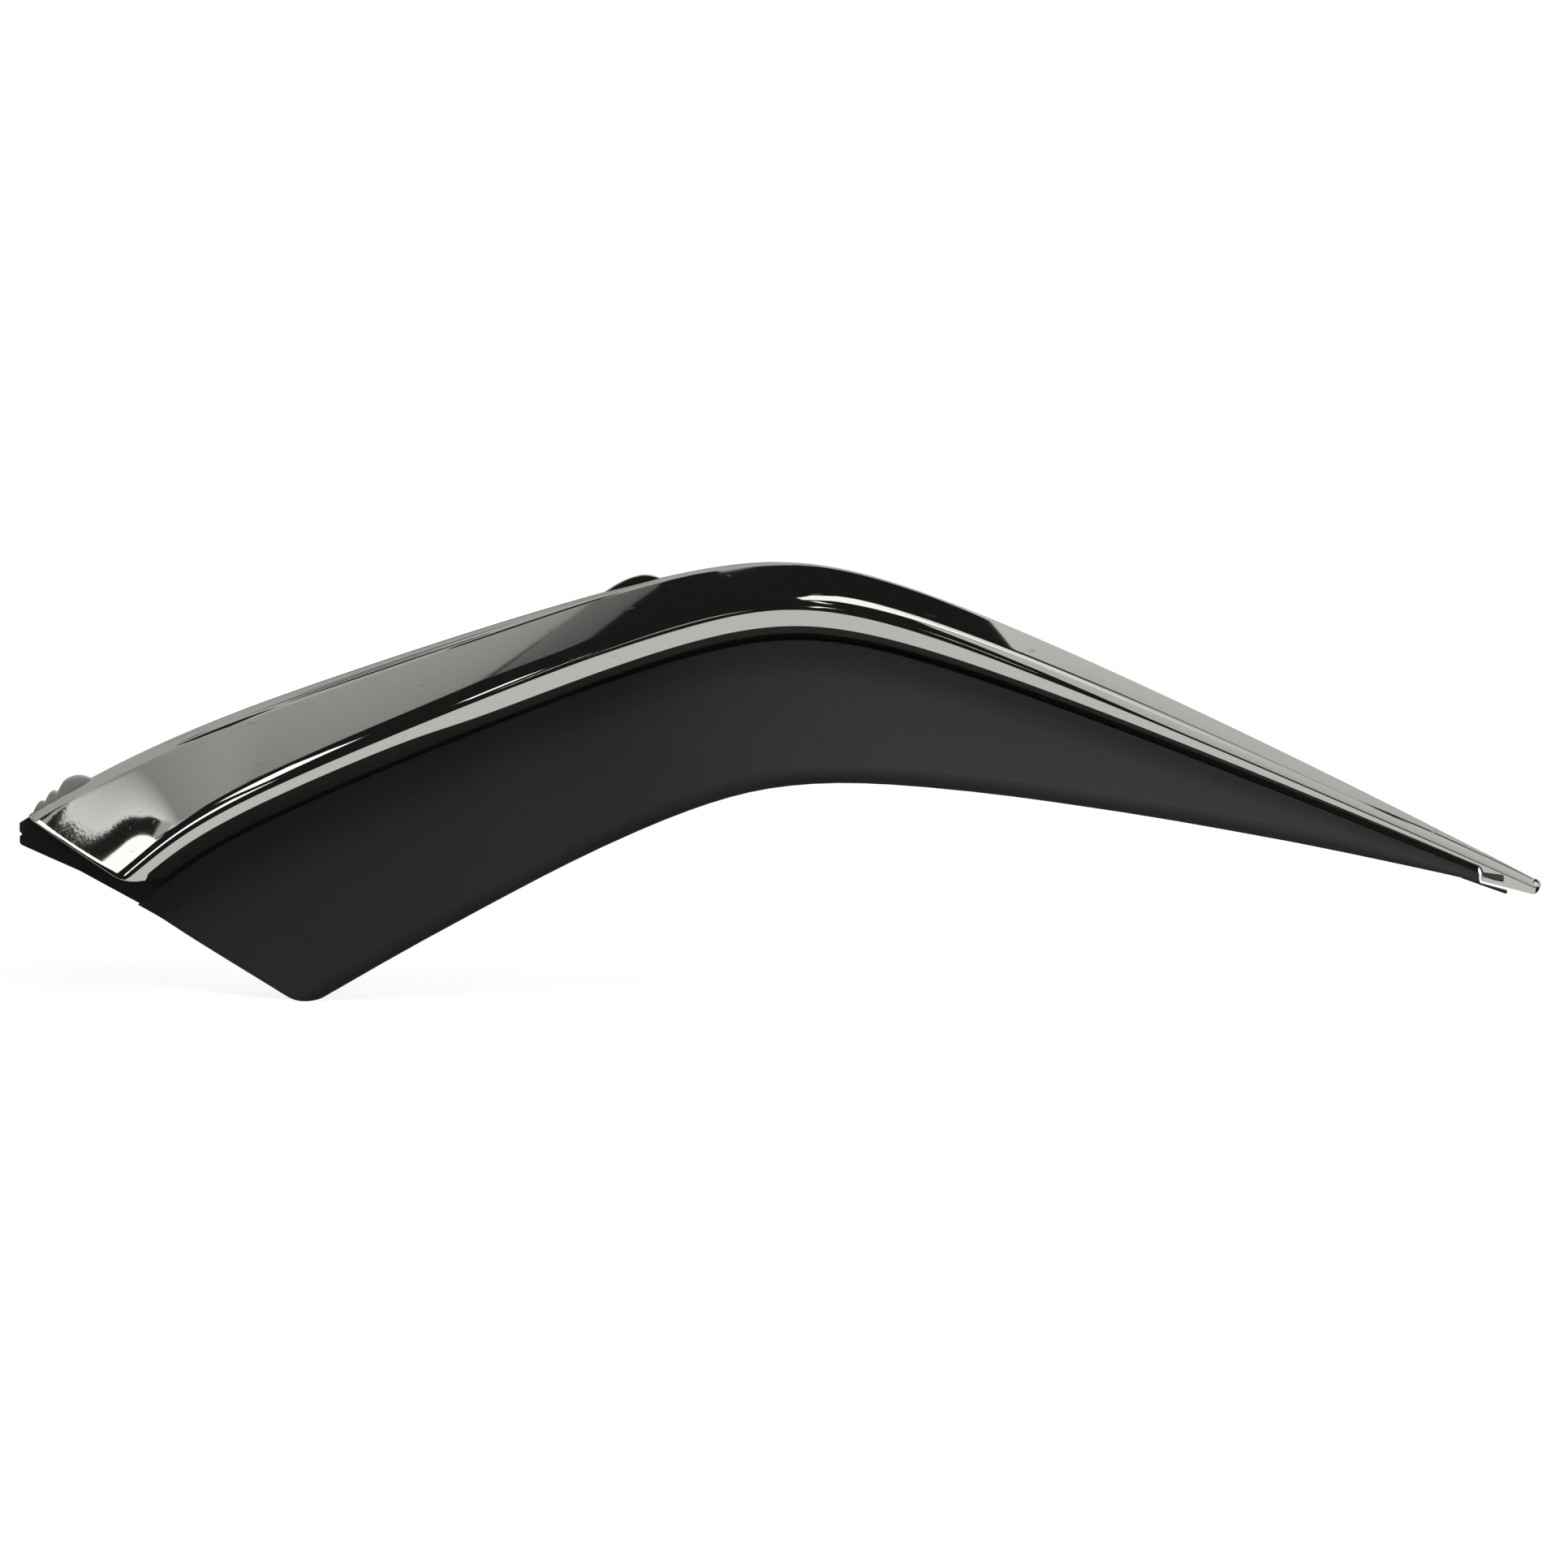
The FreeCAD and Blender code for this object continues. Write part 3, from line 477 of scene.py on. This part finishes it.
def lug_rows(middle, width, rise, peak):
    """Dome on the top return: its height over the length is a parabola each side of the peak.

    Across, a point at an angle lies the angle's cosine, in millimetres, from the middle. It is raised by the
    height times a power of the sine.
    """
    length, turn = np.meshgrid(np.linspace(0.0, 1.0, lug_stations),
                               np.linspace(0.0, 2 * np.pi, lug_points, endpoint=False), indexing="ij")
    along = middle + (length - 0.5) * width
    corners, roundings = blade_corners(along)
    side = np.where(length < peak, peak, 1 - peak)
    tall = lug_root + rise * (1 - ((length - peak) / side) ** 2)
    up = np.sign(np.sin(turn)) * np.abs(np.sin(turn)) ** lug_power
    depth = corners[1][..., 0] + lug_back + np.cos(turn)
    height = corners[1][..., 1] - lug_sink + np.where(up > 0, tall, lug_root) * up
    return np.stack((along, depth, height), axis=-1)


def ring_faces(rows, columns, first):
    """Corner numbers of the quads of a grid whose columns run in a ring."""
    number = first + np.arange(rows * columns).reshape(rows, columns)
    across = np.roll(number, -1, axis=1)
    quads = (number[:-1], across[:-1], across[1:], number[1:])
    return np.stack([corner.ravel() for corner in quads], axis=1)


grids = [skin] + [lug_rows(*sizes) for sizes in lug_sizes]
counts = [grid.shape[0] * grid.shape[1] for grid in grids]
firsts = np.concatenate(([0], np.cumsum(counts)[:-1]))
faces = np.concatenate([ring_faces(*grid.shape[:2], first) for grid, first in zip(grids, firsts)])
points = np.concatenate([grid.reshape(-1, 3) for grid in grids]) / 1000
steps = np.linalg.norm(np.diff(skin, axis=1, prepend=skin[:, :1]), axis=2)
ridge_column = sum(piece_steps[:3])
girth = np.cumsum(steps, axis=1)
from_ridge = girth - girth[:, ridge_column:ridge_column + 1]
is_lug = np.arange(len(points)) >= counts[0]

blade_mesh = bpy.data.meshes.new("blade_surface")
blade_mesh.from_pydata(points.tolist(), [], faces.tolist())
blade_mesh.polygons.foreach_set("use_smooth", np.ones(len(faces), dtype=bool))
distance = np.where(is_lug, far_away, np.pad(from_ridge.ravel(), (0, len(points) - counts[0])))
blade_mesh.attributes.new("from_ridge", "FLOAT", "POINT").data.foreach_set("value", distance)
blade_mesh.attributes.new("is_lug", "FLOAT", "POINT").data.foreach_set("value", is_lug.astype(float))
blade_mesh.materials.append(chrome)
blade = bpy.data.objects.new("blade_surface", blade_mesh)
bpy.context.scene.collection.objects.link(blade)
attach(blade, "root")
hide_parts("chrome_moulding")
print("blade mesh:", len(points), "points,", len(faces), "faces")

# %% [markdown]
# ## The black panel
#
# The panel is moulded in matt black plastic with a fine grain. Black plastic is never quite black: the grain
# scatters a little light,
#  dust lies in specks, faces that look up are made lighter as painted light from above, and handling leaves
#  rubbed patches.

# %% The black plastic finish
plastic, shader = new_finish("black_plastic")
spot = shader.place()
black_tone = (0.018, 0.0175, 0.0165, 1.0)
# The lighter tone serves both the dust specks and the painted light on faces that look up.
dust_and_top_light_tone = (0.055, 0.053, 0.049, 1.0)
grain = shader.noise(spot, scale=1500.0, roughness=0.6)
cloud = shader.noise(spot, scale=14.0, detail=3.0, roughness=0.6)
speck = shader.noise(spot, scale=700.0, detail=1.0).step(0.68, 0.8)
facing = shader.add("ShaderNodeNewGeometry", {}, {}, "Normal")
# Faces that look up are made lighter by their normal: painted light from above, not dust. Only the specks are
# dust.
painted_top_light = shader.axes(facing)[2].step(0.1, 0.95)
dust_and_top_light = 0.25 * painted_top_light + 0.5 * speck * cloud
tone = shader.blend(dust_and_top_light, black_tone, dust_and_top_light_tone)
roughness = 0.46 + 0.16 * cloud + 0.06 * grain
bump = shader.add("ShaderNodeBump", {}, {"Strength": 0.25, "Distance": 0.0002, "Height": grain})
moulded = shader.add("ShaderNodeBsdfPrincipled", {}, {
    "Base Color": tone, "Roughness": roughness, "Normal": bump})
shader.finish(moulded)
dress("base_panel", plastic)

# %% [markdown]
# ## Clips and screws
#
# The spring clips are rolled steel strip and the screws are zinc plated. Neither shows from the front, but a
# part in a library is looked at from behind too. Rolled strip has fine streaks along it; zinc is cloudier.

# %% The steel finishes
def steel_finish(name, light, dark, streaks, base_roughness):
    """Metal whose tone and roughness follow streaked noise."""
    material, shader = new_finish(name)
    spot = shader.place()
    streak = shader.noise(spot, scale=420.0, detail=3.0, roughness=0.65, stretch=streaks)
    tone = shader.blend(streak, dark, light)
    bump = shader.add("ShaderNodeBump", {}, {"Strength": 0.15, "Distance": 0.0001, "Height": streak})
    metal = shader.add("ShaderNodeBsdfPrincipled", {}, {
        "Base Color": tone, "Metallic": 1.0, "Roughness": base_roughness + 0.15 * streak, "Normal": bump})
    shader.finish(metal)
    return material


strip = steel_finish("spring_steel", light=(0.42, 0.42, 0.43, 1.0), dark=(0.26, 0.26, 0.27, 1.0),
                     streaks=(1.0, 0.1, 1.0), base_roughness=0.3)
zinc = steel_finish("zinc_steel", light=(0.7, 0.7, 0.68, 1.0), dark=(0.52, 0.52, 0.5, 1.0),
                    streaks=(1.0, 1.0, 1.0), base_roughness=0.28)
dress("spring_clips", strip)
dress("tapping_screws", zinc)

# %% [markdown]
# ## The light tent
#
# A mirror shows its room, so a chrome part is photographed in a small light tent: pale walls, a pale
# roof and a pale floor sheet, with an opening at the front for the camera. The opening is what draws the dark
# bands on the chrome. Each sheet here is a patch of a large sphere that only mirror images see. It is
# given as a row of upright sides from left to right, each with an azimuth, a lowest and a highest elevation
# in degrees. Its light runs evenly from one level at the bottom to another at the top. Sheets that lie nearer
# hide those behind them.

# %% Sheets of the tent
tent_radius = 40.0
sheet_gap = 0.4
sheet_rows = 12
columns_per_side = 8
cloth_green = 0.995
cloth_blue = 0.96


def tent_sheet(name, layer, levels, sides):
    """Patch of a sphere between upright sides of (azimuth, lowest, highest), lit from one level to another.

    A point at azimuth a and elevation e is the radius times (sin a cos e, -cos a cos e, sin e).
    Elevations run evenly from side to side, and the level evenly from the bottom to the top.
    """
    columns = columns_per_side * len(sides)
    knots = np.linspace(0.0, 1.0, len(sides))
    places = np.linspace(0.0, 1.0, columns)
    across, lowest, highest = [np.interp(places, knots, row) for row in np.transpose(sides)]
    rise = np.linspace(0.0, 1.0, sheet_rows)[:, None]
    turn = np.radians(np.broadcast_to(across, (sheet_rows, columns)).ravel())
    up = np.radians(lowest + rise * (highest - lowest)).ravel()
    below, above = levels
    glow = np.repeat(below + rise * (above - below), columns)
    outward = np.stack((np.sin(turn) * np.cos(up), -np.cos(turn) * np.cos(up), np.sin(up)), axis=1)
    corner = np.arange(sheet_rows * columns).reshape(sheet_rows, columns)[:-1, :-1].ravel()
    faces = np.stack((corner, corner + columns, corner + columns + 1, corner + 1), axis=1)
    mesh = bpy.data.meshes.new(name)
    mesh.from_pydata(((tent_radius - layer * sheet_gap) * outward).tolist(), [], faces.tolist())
    colours = np.stack((glow, cloth_green * glow, cloth_blue * glow, np.ones_like(glow)), axis=1)
    mesh.attributes.new("glow", "FLOAT_COLOR", "POINT").data.foreach_set("color", colours.ravel())
    sheet = bpy.data.objects.new(name, mesh)
    bpy.context.scene.collection.objects.link(sheet)
    mesh.materials.append(tent_cloth)
    sheet.visible_camera = False
    sheet.visible_diffuse = False
    sheet.visible_shadow = False
    print("sheet", name, "with", len(sides), "sides")


tent_cloth, shader = new_finish("tent_cloth")
glow = shader.add("ShaderNodeAttribute", {"attribute_name": "glow"}, {}, "Color")
shader.finish(shader.add("ShaderNodeEmission", {}, {"Color": glow, "Strength": 1.0}))

dark = 0.012
floor_edge = -58.0
tent_sheet("tent_opening", 0, (dark, dark), [(-180, floor_edge, 90), (180, floor_edge, 90)])
tent_sheet("tent_floor", 1, (0.6, 0.6), [(-180, -90, floor_edge), (180, -90, floor_edge)])
tent_sheet("tent_roof", 1, (0.43, 0.43), [
    (-180, 55, 90), (-75, 39, 90), (-62, 40, 90), (-45, 53, 90), (-30, 58, 90), (12, 62, 90), (40, 71, 90),
    (58, 70, 90), (90, 56, 90), (180, 55, 90)])
tent_sheet("tent_side", 2, (0.4, 0.4), [(-180, floor_edge, 56), (-110, floor_edge, 50), (-66, 31, 42)])
tent_sheet("tent_left_low", 2, (0.8, 0.28), [
    (-66, 31, 33), (-64, 29.8, 33), (-61, 29.3, 33), (-56, 27.5, 33)])
tent_sheet("tent_left", 2, (0.26, 0.38), [
    (-66, 33, 42), (-60, 33, 44), (-57.5, 40.6, 46.6), (-51.5, 45, 51), (-45.5, 49.2, 54.2),
    (-38.5, 55.6, 56.2)])
tent_sheet("tent_left_fold", 3, (0.1, 0.16), [
    (-44.5, 49.6, 49.7), (-38.5, 51.4, 55.8), (-33.5, 55.3, 57.7), (-31, 56.8, 58)])
tent_sheet("tent_right", 2, (0.52, 0.62), [
    (55.3, 45.2, 46.2), (61, 42.6, 52), (70, 34.7, 58), (130, 36, 58), (180, floor_edge, 56)])

# %% [markdown]
# Through the opening the chrome also shows the room. A tall window on the right, with a dimmer pane beside
# it, lights the rounded ridge of the right arm, and paler light lies below it. Another window far to the
# left, cut off by the tent, gives the white patch at the left end. Small lamps make the streaks along the
# left arm's ridge and the sparks at the bend.

# %% The room beyond the opening
tent_sheet("room_light", 3, (0.44, 0.58), [
    (12, -41, -37), (18, -41, 5), (21, -41, 16), (30, -41, 17.5), (43, -41, 37.5), (57, -41, 37.8),
    (69, -41, 33.8), (130, -41, 35)])
tent_sheet("room_window", 4, (1.2, 1.2), [(8.6, 8, 20.5), (13, 16.5, 37), (25, 19.5, 49.6), (32, 19, 51)])
tent_sheet("room_pane", 4, (0.85, 0.85), [(32, 19, 51), (36, 18.5, 49.8), (43, 17, 38.5)])
tent_sheet("left_window", 4, (1.3, 1.3), [(-72, 20, 30.6), (-67, 22.5, 29), (-62, 23, 27.2), (-57, 21, 26)])
for name, line in (("lamp_left", ((-35, 18, 27), (-27, 10, 20), (-20, 1, 11))),
                   ("lamp_low", ((-18, -15, -7), (-11, -25, -18))),
                   ("lamp_middle", ((-2.4, -20, -14), (0.6, -26, -18))),
                   ("lamp_near", ((6.4, -37, -29), (6.9, -37, -29))),
                   ("lamp_right", ((9, -5, 3), (9.6, -5, 3)))):
    tent_sheet(name, 5, (1.5, 1.5), line)

# %% [markdown]
# ## Floor, background and lamps
#
# The floor is a pale sheet that keeps a soft shadow. The world is white to the camera and to mirrors. A broad
# lamp above and two weaker ones at the sides light the matt plastic softly.

# %% Floor and world
floor_size = 6.0
near_glow = (1.04, 1.04, 1.04, 1.0)
far_glow = (1.2, 1.2, 1.2, 1.0)
floor_level = cad_box[0][2]
half = floor_size / 2
mesh = bpy.data.meshes.new("floor")
mesh.from_pydata([(-half, -half, floor_level), (half, -half, floor_level), (half, half, floor_level),
                  (-half, half, floor_level)], [], [(0, 1, 2, 3)])
floor = bpy.data.objects.new("floor", mesh)
bpy.context.scene.collection.objects.link(floor)
pale, shader = new_finish("pale_floor")
matt = shader.add("ShaderNodeBsdfDiffuse", {}, {"Color": (0.85, 0.85, 0.85, 1.0)})
away = shader.add("ShaderNodeVectorMath", {"operation": "LENGTH"}, {0: shader.place()}, "Value")
paleness = shader.blend(away.step(0.4, 1.3), near_glow, far_glow)
glow = shader.add("ShaderNodeEmission", {}, {"Color": paleness, "Strength": 1.0})
shader.finish(shader.add("ShaderNodeMixShader", {}, {"Fac": 0.85, 1: matt, 2: glow}))
mesh.materials.append(pale)
floor.visible_glossy = False
floor.visible_diffuse = False

world = bpy.data.worlds.new("studio")
bpy.context.scene.world = world
shader = Shader(world)
rays = shader.add("ShaderNodeLightPath")
camera_ray = Value(shader, rays.socket.node.outputs["Is Camera Ray"])
glossy_ray = Value(shader, rays.socket.node.outputs["Is Glossy Ray"])
passing_ray = Value(shader, rays.socket.node.outputs["Is Transmission Ray"])
seen = camera_ray.math("MAXIMUM", camera_ray, glossy_ray.math("MAXIMUM", glossy_ray, passing_ray))
soft_light = 0.15
level = soft_light + (1 - soft_light) * seen
backdrop = shader.add("ShaderNodeBackground", {}, {"Color": (1.0, 1.0, 1.0, 1.0), "Strength": level})
shader.finish(backdrop, "ShaderNodeOutputWorld")
print("floor at", round(floor_level, 4))

# %% Lamps
def soft_lamp(name, place, aim, size, power):
    """Area lamp at a place, turned to an aim, that mirrors don't show."""
    data = bpy.data.lights.new(name, "AREA")
    data.shape = "RECTANGLE"
    data.size, data.size_y = size
    data.energy = power
    lamp = bpy.data.objects.new(name, data)
    bpy.context.scene.collection.objects.link(lamp)
    step = np.subtract(aim, place)
    flat = math.hypot(step[0], step[1])
    lamp.location = place
    lamp.rotation_euler = (math.atan2(flat, -step[2]), 0.0, math.atan2(-step[0], step[1]))
    lamp.visible_glossy = False
    print("lamp", name, "power", power)


middle = (0.0, 0.0, -0.05)
soft_lamp("roof_lamp", place=(0.4, -0.15, 1.2), aim=middle, size=(1.2, 0.7), power=30.0)
soft_lamp("right_lamp", place=(1.2, -0.7, 0.6), aim=middle, size=(0.8, 0.8), power=10.0)
soft_lamp("left_lamp", place=(-1.3, -0.7, 0.7), aim=middle, size=(0.8, 0.8), power=2.0)

# %% [markdown]
# ## The camera
#
# The camera looks at the front from slightly above, with a long lens, as for a catalogue.

# %% Camera
camera_tilt = math.radians(10.0)
camera_distance = 1.5
aim_height = -0.056
camera_data = bpy.data.cameras.new("camera")
camera_data.sensor_width = 36.0
camera_data.sensor_fit = "HORIZONTAL"
camera_data.lens = 87.95
camera_data.clip_end = 50.0
camera = bpy.data.objects.new("camera", camera_data)
bpy.context.scene.collection.objects.link(camera)
camera.location = (0.0, -camera_distance * math.cos(camera_tilt),
                   aim_height + camera_distance * math.sin(camera_tilt))
camera.rotation_euler = (math.pi / 2 - camera_tilt, 0.0, 0.0)
bpy.context.scene.camera = camera
bpy.context.scene.view_settings.view_transform = "Standard"
